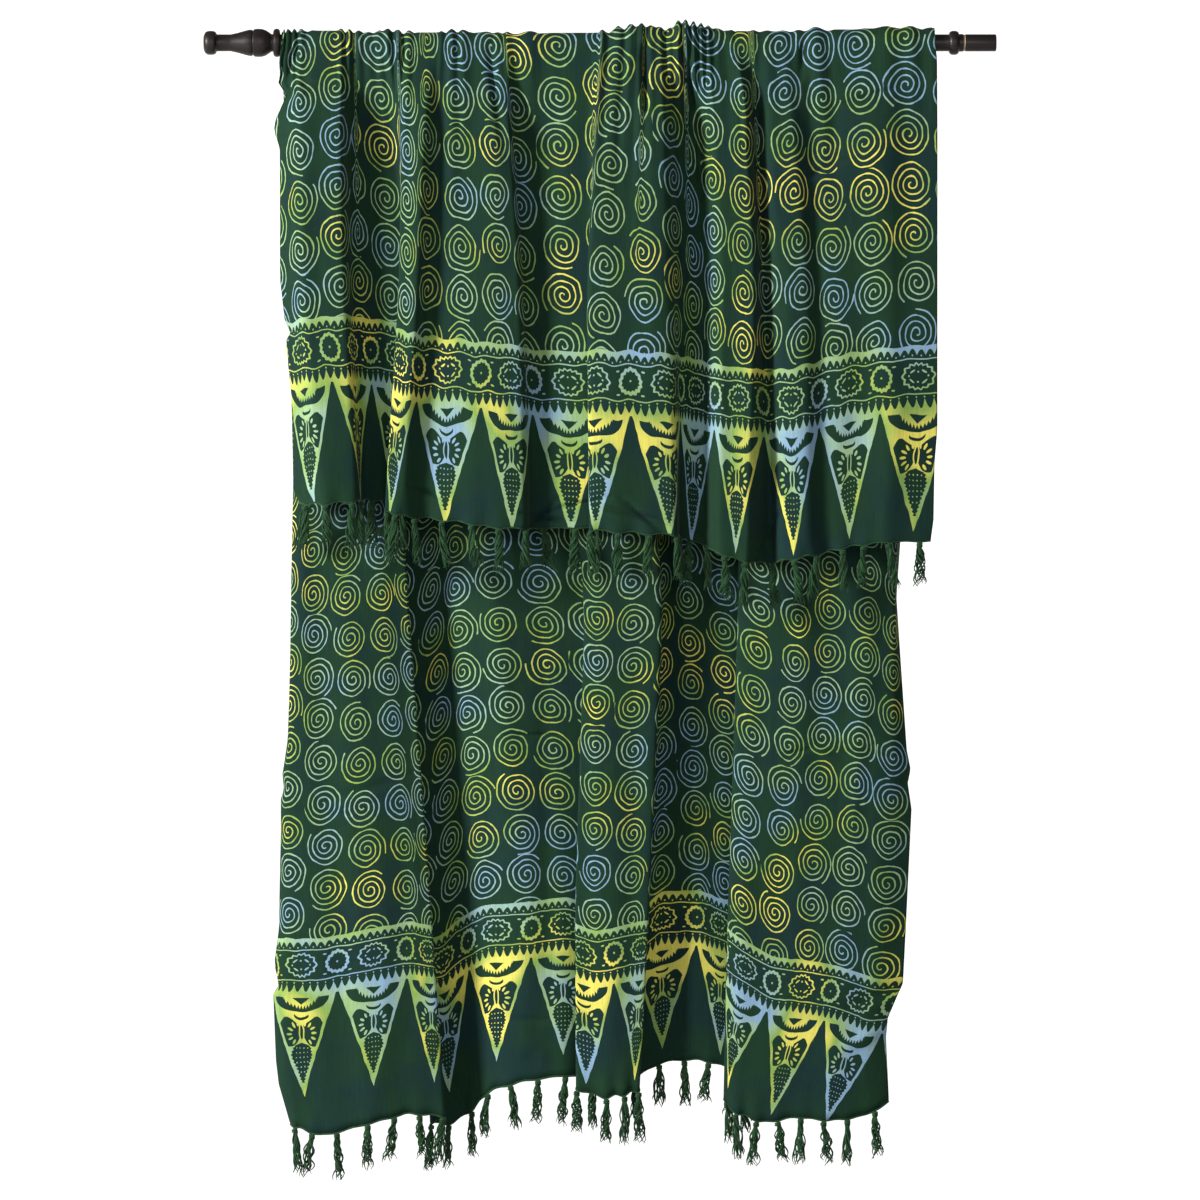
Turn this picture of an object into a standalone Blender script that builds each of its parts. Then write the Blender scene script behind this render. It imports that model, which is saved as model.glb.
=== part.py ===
"""Fringed sarong hung over a turned wooden rod.

Metres, +Z up. The rod's axis is the X axis, the cloth's short fall hangs on the -Y side and
its long fall on the +Y side. Sizes below are in millimetres and become metres in `at_mm`.
"""
import math
from collections import namedtuple

import bmesh
import bpy
from mathutils import Vector

MM = 0.001

# Cloth
CLOTH_WIDTH = 1100.0
WALL = 1.2
SEAM = 0.3
CREASE_ROUNDING = 5.0

# Rod
ROD_RADIUS = 8.9
ROD_SIDES = 16
CLOTH_ON_ROD = ROD_RADIUS + 0.5 + WALL / 2

# How the two falls hang
FALL_CLEARANCE = 4.6
OPENS_OVER = 150.0
FRONT_MIDDLE_LEVEL = 255.0
BACK_UPPER_LEVEL = 585.0
BACK_LOWER_LEVEL = 900.0
LEVEL_ROUNDING = 40.0
WIDEST_COLUMN = 30.0
NARROWEST_COLUMN = 9.0
FRONT_ROWS = 9
BACK_ROWS = 12
TURN_ROWS = 8

# Tassels
TASSELS = 34
TASSEL_EDGE = 12.0
TASSEL_LENGTH = 50.0
TASSEL_NECK = 12.0
ROOT_WIDTH = 6.6
ROOT_ROOM = 14.0
STRANDS = 3
STRIP_HEIGHT = 2.4
STRIP_SEAM = 0.55
STRAND_THICKNESS = 2.2
NECK_WIDTH = 1.5
STRAND_GAP = 0.35
STRAND_WIDTH = 2.0
STRAND_SPLAY = 1.5
STRAND_SWING = 1.0
SIDE_STRAND_LIFT = 3.0

# Bunching on the rod: along = place in the cloth, place = X on the rod, lift = height of the hump
Gather = namedtuple("Gather", "along place lift")
GATHERS = [
    Gather(0, -334, 0.2),
    Gather(26, -331, 2.4),
    Gather(70, -314, 2.6),
    Gather(98, -290, 2.4),
    Gather(120, -272, 2.6),
    Gather(150, -262, 2.0),
    Gather(206, -237, 0.2),
    Gather(225, -229, 3.2),
    Gather(240, -222, 3.4),
    Gather(278, -204, 0.7),
    Gather(325, -177, 0.5),
    Gather(345, -168, 0.7),
    Gather(373, -156, 2.8),
    Gather(405, -141, 1.8),
    Gather(425, -117, 0.4),
    Gather(485, -94, 0.2),
    Gather(500, -76, 0.2),
    Gather(560, -10, 0.2),
    Gather(600, 0, 0.5),
    Gather(618, 19, 5.0),
    Gather(650, 42, 9.2),
    Gather(664, 49, 7.2),
    Gather(685, 61, 6.8),
    Gather(705, 71, 2.2),
    Gather(720, 78, 8.5),
    Gather(735, 85, 13.2),
    Gather(757, 94, 10.2),
    Gather(785, 105, 8.6),
    Gather(812, 115, 6.2),
    Gather(830, 124, 4.0),
    Gather(847, 138, 2.0),
    Gather(890, 160, 2.0),
    Gather(905, 170, 2.0),
    Gather(945, 197, 2.0),
    Gather(965, 210, 2.0),
    Gather(985, 223, 5.0),
    Gather(1000, 240, 3.8),
    Gather(1030, 269, 3.6),
    Gather(1050, 292, 6.2),
    Gather(1065, 313, 6.2),
    Gather(1100, 353, 5.0),
]

# Front fall: middle and hem = X at those levels, depth = how far the panel stands forward,
# drop = how low its hem hangs
FrontFold = namedtuple("FrontFold", "along middle hem depth drop")
FRONT_FOLDS = [
    FrontFold(0, -318, -307, 3, 482),
    FrontFold(26, -333, -320, 9, 483),
    FrontFold(70, -312, -292, 40, 485),
    FrontFold(120, -273, -256, 38, 481),
    FrontFold(150, -260, -250, 12, 480),
    FrontFold(165, -250, -244, 5, 479),
    FrontFold(232, -199, -208, 3, 482),
    FrontFold(244, -197, -206, 11, 484),
    FrontFold(278, -211, -226, 40, 492),
    FrontFold(325, -188, -205, 42, 497),
    FrontFold(345, -181, -188, 26, 498),
    FrontFold(405, -130, -136, 26, 505),
    FrontFold(425, -121, -122, 8, 509),
    FrontFold(485, -74, -74, 10, 510),
    FrontFold(500, -62, -62, 26, 509),
    FrontFold(560, 0, 3, 20, 509),
    FrontFold(600, -15, -13, 41, 512),
    FrontFold(695, 75, 80, 38, 517),
    FrontFold(725, 84, 83, 8, 518),
    FrontFold(757, 99, 91, 2, 520),
    FrontFold(790, 116, 110, 8, 527),
    FrontFold(812, 125, 121, 36, 535),
    FrontFold(868, 164, 156, 36, 546),
    FrontFold(890, 171, 180, 4, 545),
    FrontFold(905, 182, 189, 30, 544),
    FrontFold(945, 216, 218, 32, 539),
    FrontFold(965, 228, 233, 20, 535),
    FrontFold(1000, 258, 260, 22, 529),
    FrontFold(1050, 305, 296, 24, 524),
    FrontFold(1100, 353, 346, 16, 523),
]

# Back fall: upper, lower and hem = X at those levels, depth = how far the panel stands back
BackFold = namedtuple("BackFold", "along upper lower hem depth drop")
BACK_FOLDS = [
    BackFold(0, -315, -335, -332, 20, 1138),
    BackFold(23, -324, -326, -322, 8, 1140),
    BackFold(60, -308, -294, -292, 3, 1148),
    BackFold(115, -267, -240, -240, 0, 1134),
    BackFold(160, -229, -200, -202, 2, 1124),
    BackFold(212, -200, -177, -160, 6, 1128),
    BackFold(245, -218, -192, -182, 34, 1138),
    BackFold(275, -196, -170, -158, 48, 1139),
    BackFold(298, -178, -154, -139, 46, 1128),
    BackFold(343, -154, -121, -117, 34, 1103),
    BackFold(389, -112, -74, -81, 20, 1092),
    BackFold(435, -62, -37, -36, 26, 1086),
    BackFold(464, -12, -10, -10, 34, 1089),
    BackFold(476, -10, -8, -8, 26, 1091),
    BackFold(497, -17, -29, -29, 3, 1098),
    BackFold(527, -2, -8, 3, 0, 1108),
    BackFold(572, 33, 35, 28, 1, 1104),
    BackFold(605, 69, 54, 43, 4, 1100),
    BackFold(630, 57, 42, 33, 28, 1091),
    BackFold(668, 68, 64, 66, 44, 1073),
    BackFold(710, 91, 106, 102, 36, 1070),
    BackFold(756, 131, 131, 134, 42, 1078),
    BackFold(792, 162, 156, 157, 50, 1090),
    BackFold(808, 166, 160, 160, 40, 1092),
    BackFold(870, 144, 133, 128, 6, 1110),
    BackFold(893, 168, 148, 143, 2, 1124),
    BackFold(939, 210, 184, 172, 0, 1134),
    BackFold(985, 242, 222, 207, 2, 1128),
    BackFold(1030, 284, 258, 239, 0, 1132),
    BackFold(1076, 310, 300, 275, 4, 1128),
    BackFold(1100, 311, 324, 302, 14, 1112),
]

# Rod's turned outline from its right end to its left end
Turning = namedtuple("Turning", "place radius")
ROD_OUTLINE = [
    Turning(416.0, 0.0),
    Turning(416.0, 8.0),
    Turning(415.0, 9.0),
    Turning(383.4, 9.0),
    Turning(382.9, 8.4),
    Turning(381.9, 8.4),
    Turning(381.4, 9.2),
    Turning(377.0, 9.3),
    Turning(376.2, 11.2),
    Turning(374.0, 12.5),
    Turning(369.2, 12.5),
    Turning(367.0, 11.2),
    Turning(366.2, ROD_RADIUS),
    Turning(-335.6, ROD_RADIUS),
    Turning(-335.9, 13.4),
    Turning(-337.6, 14.7),
    Turning(-340.6, 14.7),
    Turning(-342.4, 13.2),
    Turning(-343.0, 9.4),
    Turning(-345.4, 9.4),
    Turning(-348.4, 11.8),
    Turning(-354.0, 14.5),
    Turning(-361.2, 14.7),
    Turning(-363.6, 13.0),
    Turning(-364.6, 13.0),
    Turning(-366.4, 13.9),
    Turning(-374.0, 12.2),
    Turning(-381.0, 10.2),
    Turning(-386.5, 8.9),
    Turning(-401.8, 8.9),
    Turning(-403.4, 11.2),
    Turning(-405.6, 12.6),
    Turning(-411.0, 12.6),
    Turning(-414.4, 10.8),
    Turning(-416.0, 8.0),
    Turning(-416.0, 0.0),
]


def at_mm(x, y, z):
    """A place given in millimetres, in metres."""
    return Vector((x, y, z)) * MM


def between(places, values, place):
    """Value at a place on a line drawn through the given places and values."""
    if place <= places[0]:
        return values[0]
    for start in range(len(places) - 1):
        if place <= places[start + 1]:
            share = (place - places[start]) / (places[start + 1] - places[start])
            return values[start] + share * (values[start + 1] - values[start])
    return values[-1]


def fold_value(table, column, along):
    """A table's column at a place in the cloth, with each crease slightly rounded."""
    places = [row.along for row in table]
    values = [getattr(row, column) for row in table]
    reach = min(CREASE_ROUNDING, along, CLOTH_WIDTH - along)
    steps = (-reach, -reach / 2, 0.0, reach / 2, reach)
    return sum(between(places, values, along + step) for step in steps) / len(steps)


def down_value(levels, values, level):
    """A value down a fall, drawn through the given levels and softened between them."""
    reach = min(LEVEL_ROUNDING, level, levels[-1] - level)
    return sum(between(levels, values, level + step) for step in (-reach, 0.0, reach)) / 3


def smooth_share(share):
    """An even ramp from 0 to 1 that starts and ends gently."""
    share = min(max(share, 0.0), 1.0)
    return share * share * (3 - 2 * share)


def fall_depth(along, level, depth):
    """Distance from the rod's middle plane: close on the rod, spread to the panel's depth."""
    on_rod = CLOTH_ON_ROD + fold_value(GATHERS, "lift", along)
    hanging = FALL_CLEARANCE + depth
    opened = smooth_share(level / OPENS_OVER)
    return on_rod + (hanging - on_rod) * opened


def front_point(along, down):
    """Point on the front fall: along the cloth's width, down from 0 to 1 at the hem."""
    drop = fold_value(FRONT_FOLDS, "drop", along)
    level = SEAM + down * (drop - SEAM)
    levels = (0.0, FRONT_MIDDLE_LEVEL, drop)
    places = (
        fold_value(GATHERS, "place", along),
        fold_value(FRONT_FOLDS, "middle", along),
        fold_value(FRONT_FOLDS, "hem", along),
    )
    depth = fall_depth(along, level, fold_value(FRONT_FOLDS, "depth", along))
    return at_mm(down_value(levels, places, level), -depth, -level)


def back_point(along, down):
    """Point on the back fall, as `front_point` gives it for the front one."""
    drop = fold_value(BACK_FOLDS, "drop", along)
    level = SEAM + down * (drop - SEAM)
    levels = (0.0, BACK_UPPER_LEVEL, BACK_LOWER_LEVEL, drop)
    places = (
        fold_value(GATHERS, "place", along),
        fold_value(BACK_FOLDS, "upper", along),
        fold_value(BACK_FOLDS, "lower", along),
        fold_value(BACK_FOLDS, "hem", along),
    )
    depth = fall_depth(along, level, fold_value(BACK_FOLDS, "depth", along))
    return at_mm(down_value(levels, places, level), depth, -level)


def turn_point(along, turn):
    """Point on the stretch over the rod: turn is 0 at the front seam and 1 at the back one."""
    radius = CLOTH_ON_ROD + fold_value(GATHERS, "lift", along)
    angle = math.pi * turn
    place = fold_value(GATHERS, "place", along)
    return at_mm(place, -radius * math.cos(angle), radius * math.sin(angle))


def cloth_columns():
    """Places along the cloth where its folds turn, with wide gaps halved and close ones joined."""
    turns = sorted({row.along for table in (GATHERS, FRONT_FOLDS, BACK_FOLDS) for row in table})
    columns = [0.0]
    for along in turns[1:]:
        gap = along - columns[-1]
        if gap < NARROWEST_COLUMN and along < CLOTH_WIDTH:
            continue
        parts = math.ceil(gap / WIDEST_COLUMN)
        start = columns[-1]
        columns.extend(start + gap * part / parts for part in range(1, parts + 1))
    return columns


def make_material(name, color, roughness):
    """Principled material with the piece's colour and roughness."""
    material = bpy.data.materials.new(name)
    material.use_nodes = True
    shader = material.node_tree.nodes["Principled BSDF"]
    shader.inputs["Base Color"].default_value = (*color, 1.0)
    shader.inputs["Roughness"].default_value = roughness
    shader.inputs["Metallic"].default_value = 0.0
    return material


def add_object(name, mesh, material, collection):
    """Named object from a mesh, shaded smooth, in the part's collection."""
    piece = bpy.data.objects.new(name, mesh)
    mesh.materials.append(material)
    mesh.shade_smooth()
    collection.objects.link(piece)
    return piece


def placed_grid(alongs, rows, point_at):
    """Grid mesh whose columns and rows are moved to the points of a surface."""
    bm = bmesh.new()
    bmesh.ops.create_grid(bm, x_segments=len(alongs) - 1, y_segments=len(rows) - 1, size=1.0)
    for vertex in bm.verts:
        column = round((vertex.co.x + 1) / 2 * (len(alongs) - 1))
        row = round((vertex.co.y + 1) / 2 * (len(rows) - 1))
        vertex.co = point_at(alongs[column], rows[row])
    return bm


def make_cloth(name, row_count, point_at, material, collection):
    """One stretch of cloth: an open sheet on its surface, given its thickness."""
    rows = [row / row_count for row in range(row_count + 1)]
    bm = placed_grid(cloth_columns(), rows, point_at)
    mesh = bpy.data.meshes.new(name)
    bm.to_mesh(mesh)
    bm.free()
    piece = add_object(name, mesh, material, collection)
    wall = piece.modifiers.new("wall", "SOLIDIFY")
    wall.thickness = WALL * MM
    wall.offset = 0.0
    wall.use_rim = True
    return piece


def tassel_places():
    """Places along the hem where tassels hang: evenly spaced, then moved off the creases."""
    columns = cloth_columns()
    middles = [
        (columns[number] + columns[number + 1]) / 2
        for number in range(len(columns) - 1)
        if columns[number + 1] - columns[number] >= ROOT_ROOM
    ]
    pitch = (CLOTH_WIDTH - 2 * TASSEL_EDGE) / (TASSELS - 1)
    places = []
    for number in range(TASSELS):
        even = TASSEL_EDGE + pitch * number
        free = [middle for middle in middles if middle not in places]
        places.append(min(free, key=lambda middle: abs(middle - even)))
    return sorted(places)


def strip_columns():
    """Stations along the edge strip: the cloth's own, and one face for each strand's root."""
    columns = cloth_columns()
    for place in tassel_places():
        start = place - ROOT_WIDTH / 2
        columns.extend(start + ROOT_WIDTH * strand / STRANDS for strand in range(STRANDS + 1))
    return sorted(columns)


def hem_frame(hem, along):
    """Hem point, the hem's level direction, the direction out of the cloth, and its slack."""
    places = [column for column, _ in hem]
    before = max(along - ROOT_WIDTH / 2, 0.0)
    after = min(along + ROOT_WIDTH / 2, CLOTH_WIDTH)

    def hem_point(place):
        return Vector([between(places, [point[axis] for _, point in hem], place) for axis in range(3)])

    direction = hem_point(after) - hem_point(before)
    direction.z = 0.0
    slack = min(direction.length / ((after - before) * MM), 1.0)
    direction.normalize()
    return hem_point(along), direction, Vector((direction.y, -direction.x, 0.0)), slack


def pull_strand(bm, face, middle, width, frame):
    """Draw one strand's next section out of a face, down to the given middle point."""
    _, direction, outward, _ = frame
    start = face.calc_center_median()
    new_face = bmesh.ops.extrude_discrete_faces(bm, faces=[face])["faces"][0]
    for vertex in new_face.verts:
        offset = vertex.co - start
        across = math.copysign(width / 2, offset.dot(direction))
        through = math.copysign(STRAND_THICKNESS / 2, offset.dot(outward))
        vertex.co = middle + (direction * across + outward * through) * MM
    return new_face


def pull_tassel(bm, faces, frame, number):
    """Three strands drawn out of their root faces, close at the neck and spread at the tips."""
    middle, direction, _, slack = frame
    swing = STRAND_SWING * math.sin(2.4 * number)
    for strand, face in enumerate(faces):
        side = strand - (STRANDS - 1) / 2
        neck = middle + direction * (side * slack * (NECK_WIDTH + STRAND_GAP) * MM)
        neck.z -= TASSEL_NECK * MM
        neck_face = pull_strand(bm, face, neck, NECK_WIDTH * slack, frame)
        tip = middle + direction * (slack * (side * (STRAND_WIDTH + STRAND_SPLAY) + swing) * MM)
        tip.z -= (TASSEL_LENGTH - SIDE_STRAND_LIFT * abs(side)) * MM
        pull_strand(bm, neck_face, tip, STRAND_WIDTH * slack, frame)


def make_fringe(name, point_at, material, collection):
    """Narrow strip under a hem with tassels drawn out of its lower side."""
    hem = [(column, point_at(column, 1.0)) for column in cloth_columns()]
    corners = ((1, 0), (1, 1), (-1, 1), (-1, 0), (1, 0))

    def strip_point(along, corner):
        place, _, outward, _ = hem_frame(hem, along)
        side, down = corner
        drop = STRIP_SEAM + down * STRIP_HEIGHT
        return place + outward * (side * WALL / 2 * MM) - at_mm(0, 0, drop)

    bm = placed_grid(strip_columns(), corners, strip_point)
    bmesh.ops.remove_doubles(bm, verts=bm.verts[:], dist=0.000001)
    bmesh.ops.holes_fill(bm, edges=bm.edges[:], sides=4)
    bmesh.ops.recalc_face_normals(bm, faces=bm.faces[:])

    lower_faces = [face for face in bm.faces if face.normal.z < -0.7]
    for number, place in enumerate(tassel_places()):
        roots = []
        for strand in range(STRANDS):
            side = strand - (STRANDS - 1) / 2
            root = strip_point(place + side * ROOT_WIDTH / STRANDS, (0, 1))
            roots.append(min(lower_faces, key=lambda face: (face.calc_center_median() - root).length))
        pull_tassel(bm, roots, hem_frame(hem, place), number)
        lower_faces = [face for face in lower_faces if face.is_valid]
    mesh = bpy.data.meshes.new(name)
    bm.to_mesh(mesh)
    bm.free()
    return add_object(name, mesh, material, collection)


def make_rod(material, collection):
    """The turned rod: its outline swept round Z, laid along X."""
    mesh = bpy.data.meshes.new("rod")
    bm = bmesh.new()
    vertices = [bm.verts.new(at_mm(point.radius, 0.0, point.place)) for point in ROD_OUTLINE]
    for start in range(len(vertices) - 1):
        bm.edges.new((vertices[start], vertices[start + 1]))
    bm.to_mesh(mesh)
    bm.free()
    piece = add_object("rod", mesh, material, collection)
    turning = piece.modifiers.new("turning", "SCREW")
    turning.angle = 2 * math.pi
    turning.steps = ROD_SIDES
    turning.render_steps = ROD_SIDES
    turning.use_merge_vertices = True
    turning.merge_threshold = 0.00002
    piece.rotation_euler = (0.0, math.pi / 2, 0.0)
    return piece


def clear_scene():
    """Remove every object that the scene starts with."""
    for item in list(bpy.data.objects):
        bpy.data.objects.remove(item, do_unlink=True)


def main():
    clear_scene()
    collection = bpy.data.collections.new("sarong")
    bpy.context.scene.collection.children.link(collection)
    rayon = make_material("dyed rayon", (0.012, 0.048, 0.026), 0.75)
    thread = make_material("tassel thread", (0.010, 0.036, 0.014), 0.85)
    wood = make_material("dark stained wood", (0.024, 0.017, 0.016), 0.4)
    make_rod(wood, collection)
    make_cloth("cloth_front", FRONT_ROWS, front_point, rayon, collection)
    make_cloth("cloth_over_rod", TURN_ROWS, turn_point, rayon, collection)
    make_cloth("cloth_back", BACK_ROWS, back_point, rayon, collection)
    make_fringe("fringe_front", front_point, thread, collection)
    make_fringe("fringe_back", back_point, thread, collection)


main()
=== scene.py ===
"""Looks of a batik sarong hung over a turned rod: cloth, print, tassels, rod and stage."""
import math
import random
from collections import namedtuple
from functools import partial, reduce

import bmesh
import bpy
import numpy as np
from bpy.props import FloatProperty, FloatVectorProperty, IntProperty, PointerProperty
from bpy.types import Operator, Panel, PropertyGroup
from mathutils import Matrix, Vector


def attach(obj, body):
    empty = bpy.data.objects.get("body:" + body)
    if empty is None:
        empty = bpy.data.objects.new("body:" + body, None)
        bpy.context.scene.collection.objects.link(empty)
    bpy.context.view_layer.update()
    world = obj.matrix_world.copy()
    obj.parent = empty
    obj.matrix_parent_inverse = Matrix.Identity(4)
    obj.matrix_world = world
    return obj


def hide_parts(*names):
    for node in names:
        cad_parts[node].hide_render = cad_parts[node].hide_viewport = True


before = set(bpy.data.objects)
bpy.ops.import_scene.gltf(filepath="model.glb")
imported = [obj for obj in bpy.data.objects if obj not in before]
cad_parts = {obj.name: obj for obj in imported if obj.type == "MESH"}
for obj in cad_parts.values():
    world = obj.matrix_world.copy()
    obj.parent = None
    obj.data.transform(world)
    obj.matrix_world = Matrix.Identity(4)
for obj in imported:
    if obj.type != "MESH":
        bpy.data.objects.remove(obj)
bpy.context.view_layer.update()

bl_info = {
    "name": "Batik Sarong",
    "version": (1, 0, 0),
    "blender": (4, 5, 0),
    "location": "View3D > Sidebar > Sarong",
    "description": "Builds a fringed batik sarong hung over a turned rod",
    "category": "Add Mesh",
}

MM = 0.001
HALF = (0.5, 0.5, 0.5)

# Stage, in metres: the backdrop glows only behind the sarong, so that its folds stay dark
MIDDLE = (0.0, 0.0, -0.585)
KEY_PLACE, KEY_SIZE = (-4.2, -2.7, 0.9), 1.0
FILL_PLACE, FILL_SIZE = (0.6, -4.6, 0.5), 1.4
WORLD_STRENGTH = 0.12
GLOW_BEHIND, GLOW_STRENGTH = (0.3, 2.8), (0.06, 0.96)
PAPER_GREY = "#b9b9b7"
WIDTH_IN_VIEW = 1.26
SENSOR_WIDTH = 36.0

# Rod: place and half width of the bare ring in metres, and the angle of a sharp edge
BARE_RING, BARE_RING_HALF = 0.3824, 0.0009
SHARP_ANGLE = 38

# Tassels, in metres: a knot wound round the yarns, which hang bound and fray at the tip
KNOT_RADIUS, KNOT_TOP, KNOT_HEIGHT, KNOT_YARN, KNOT_STEPS = 0.0026, 0.0022, 0.0034, 1.3, 16
BOUND_RADIUS, YARN_TOP, YARN_STEPS, FRAY, WAVINESS = 0.0024, 0.001, 13, 0.007, 0.001
EDGE_DROP, EDGE_RADIUS = 0.0004, 0.0011

# Stations along the cloth and rows down it
FRONT_STATIONS, FRONT_ROWS, TURN_ROWS = 320, 120, 16
BACK_STATIONS, BACK_ROWS, HEM_STATIONS = 264, 170, 260
FRONT_FRINGE_SEED, BACK_FRINGE_SEED = 11, 29

# Cloth, in millimetres
CLOTH_WIDTH = 1100.0
WALL = 1.2
ROD_RADIUS = 8.9
CLOTH_ON_ROD = ROD_RADIUS + 0.5 + WALL / 2
FALL_CLEARANCE = 4.6
OPENS_OVER = 105.0
FRONT_MIDDLE_LEVEL = 255.0
BACK_UPPER_LEVEL = 585.0
BACK_LOWER_LEVEL = 900.0
LEVEL_ROUNDING = 40.0
CREASE_ROUNDING = 6.5
EDGE_REACH = 26.0
EDGE_SETTLES_OVER = 20.0

# Print, in millimetres of cloth
SPIRAL_PITCH = CLOTH_WIDTH / 24
ROW_PITCH = 44.3
SPIRAL_JITTER = (1.8, 1.6, 0.0)
LINE_WANDER = (3.4, 3.4, 0.0)
FIELD_LENGTH = 27.5 * ROW_PITCH
BORDER_REPEAT = CLOTH_WIDTH / 14
FRONT_PRINT_STRETCH = 1.175
FRONT_BORDER_SHIFT = 58.6
BACK_BORDER_SHIFT = 39.3
HIDDEN_BACK_LEVEL = 480.0
BORDER_TO_TIP = 166.0
TASSEL_COUNT, TASSEL_MARGIN = 34, 12.0
TASSEL_PITCH = (CLOTH_WIDTH - 2 * TASSEL_MARGIN) / (TASSEL_COUNT - 1)
HEM_PULL, HEM_REACH = 1.7, 16.0
TIP_LEAN, TIP_LEAN_FROM = 34.0, 860.0
DRIFT_PLACES, DRIFTS = (435.0, 464.0, 497.0, 527.0), (0.0, 17.0, 12.0, 0.0)


def named_rows(columns, rows):
    """A table: rows of values with named columns."""
    kind = namedtuple("Row", columns)
    return [kind(*row) for row in rows]


# Bunching on the rod: along = place in the cloth, place = X on the rod, lift = height of the hump
GATHERS = named_rows("along place lift", (
    (0, -334, 0.2), (26, -331, 2.4), (70, -314, 2.6), (98, -290, 2.4), (120, -272, 2.6),
    (150, -262, 2.0), (206, -237, 0.2), (225, -229, 3.2), (240, -222, 3.4), (278, -204, 0.7),
    (325, -177, 0.5), (345, -168, 0.7), (373, -156, 2.8), (405, -141, 1.8), (425, -117, 0.4),
    (485, -94, 0.2), (500, -76, 0.2), (560, -10, 0.2), (600, 0, 0.5), (618, 19, 5.0),
    (650, 42, 9.2), (664, 49, 7.2), (685, 61, 6.8), (705, 71, 2.2), (720, 78, 8.5),
    (735, 85, 13.2), (757, 94, 10.2), (785, 105, 8.6), (812, 115, 6.2), (830, 124, 4.0),
    (847, 138, 2.0), (890, 160, 2.0), (905, 170, 2.0), (945, 197, 2.0), (965, 210, 2.0),
    (985, 223, 5.0), (1000, 240, 3.8), (1030, 269, 3.6), (1050, 292, 6.2), (1065, 313, 6.2),
    (1100, 353, 5.0),
))

# Front fall: middle and hem = X at those levels, depth = how far the panel stands forward,
# drop = how low its hem hangs, border = how far the printed border starts above the hem
FRONT_FOLDS = named_rows("along middle hem depth drop border", (
    (0, -318, -307, 3, 482, 184), (26, -333, -320, 9, 483, 188), (70, -312, -292, 40, 485, 193),
    (120, -266, -252, 38, 481, 193), (150, -259, -249, 10, 480, 192),
    (165, -250, -244, 5, 479, 190), (232, -199, -208, 3, 482, 187),
    (244, -197, -206, 11, 484, 188), (278, -211, -226, 40, 492, 190),
    (325, -188, -205, 42, 497, 189), (345, -181, -188, 26, 498, 189),
    (405, -130, -132, 32, 505, 190), (425, -112, -114, 32, 509, 192),
    (470, -82, -76, 30, 510, 190), (485, -79, -72, 8, 510, 189), (500, -66, -60, 6, 509, 186),
    (560, -6, 0, 8, 509, 184), (600, -15, -13, 41, 512, 188), (695, 75, 80, 38, 517, 189),
    (725, 84, 83, 8, 518, 189), (757, 99, 91, 2, 520, 189), (790, 116, 110, 8, 527, 190),
    (812, 125, 121, 36, 535, 195), (868, 164, 156, 36, 546, 202), (890, 171, 180, 4, 545, 200),
    (905, 182, 189, 30, 544, 199), (945, 216, 218, 32, 539, 199), (965, 228, 233, 20, 535, 200),
    (1000, 258, 260, 22, 529, 202), (1050, 305, 296, 24, 524, 203),
    (1100, 353, 346, 16, 523, 206),
))

# Which place along the cloth shows at each X below the rod, where folds hide the rest
SHOWN_AT_ROD = named_rows("place along", (
    (-334, 40), (-315, 69), (-277, 115), (-259, 133), (-256, 184), (-234, 206), (-213, 229),
    (-210, 286), (-200, 298), (-185, 331), (-182, 344), (-153, 390), (-114, 435), (-101, 450),
    (-98, 475), (-92, 481), (-70, 505), (-45, 527), (0, 572), (3, 602), (19, 619), (44, 643),
    (47, 688), (70, 710), (87, 727), (91, 783), (110, 802), (132, 824), (150, 850), (156, 860),
    (161, 913), (188, 940), (228, 985), (267, 1031), (318, 1077), (353, 1112),
))

# Back fall: upper, lower and hem = X at those levels, depth = how far the panel stands back
BACK_FOLDS = named_rows("along upper lower hem depth drop border", (
    (0, -315, -335, -332, 20, 1138, 196), (23, -324, -326, -322, 8, 1140, 198),
    (60, -308, -294, -292, 3, 1148, 207), (115, -267, -240, -240, 0, 1134, 204),
    (160, -229, -200, -202, 2, 1124, 201), (212, -200, -177, -160, 6, 1128, 200),
    (245, -218, -192, -182, 34, 1138, 196), (275, -196, -170, -158, 48, 1139, 198),
    (298, -178, -154, -139, 46, 1128, 204), (343, -154, -121, -117, 34, 1103, 196),
    (389, -112, -74, -81, 20, 1092, 188), (435, -62, -37, -36, 26, 1086, 188),
    (464, -12, -10, -10, 34, 1089, 184), (476, -10, -8, -8, 26, 1091, 180),
    (497, -17, -29, -29, 3, 1098, 174), (527, -2, -8, 3, 0, 1108, 175),
    (572, 33, 35, 28, 1, 1104, 179), (605, 69, 54, 43, 4, 1100, 178),
    (630, 57, 42, 33, 28, 1091, 178), (668, 68, 64, 66, 44, 1073, 180),
    (710, 91, 106, 102, 36, 1070, 178), (756, 131, 131, 134, 42, 1078, 176),
    (792, 162, 156, 157, 50, 1090, 176), (808, 166, 160, 160, 40, 1092, 178),
    (870, 144, 133, 128, 6, 1110, 182), (893, 168, 148, 143, 2, 1124, 184),
    (939, 210, 184, 172, 0, 1134, 174), (985, 242, 222, 207, 2, 1128, 164),
    (1030, 284, 258, 239, 0, 1132, 162), (1076, 310, 300, 275, 4, 1128, 144),
    (1100, 311, 324, 302, 14, 1112, 130),
))

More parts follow.
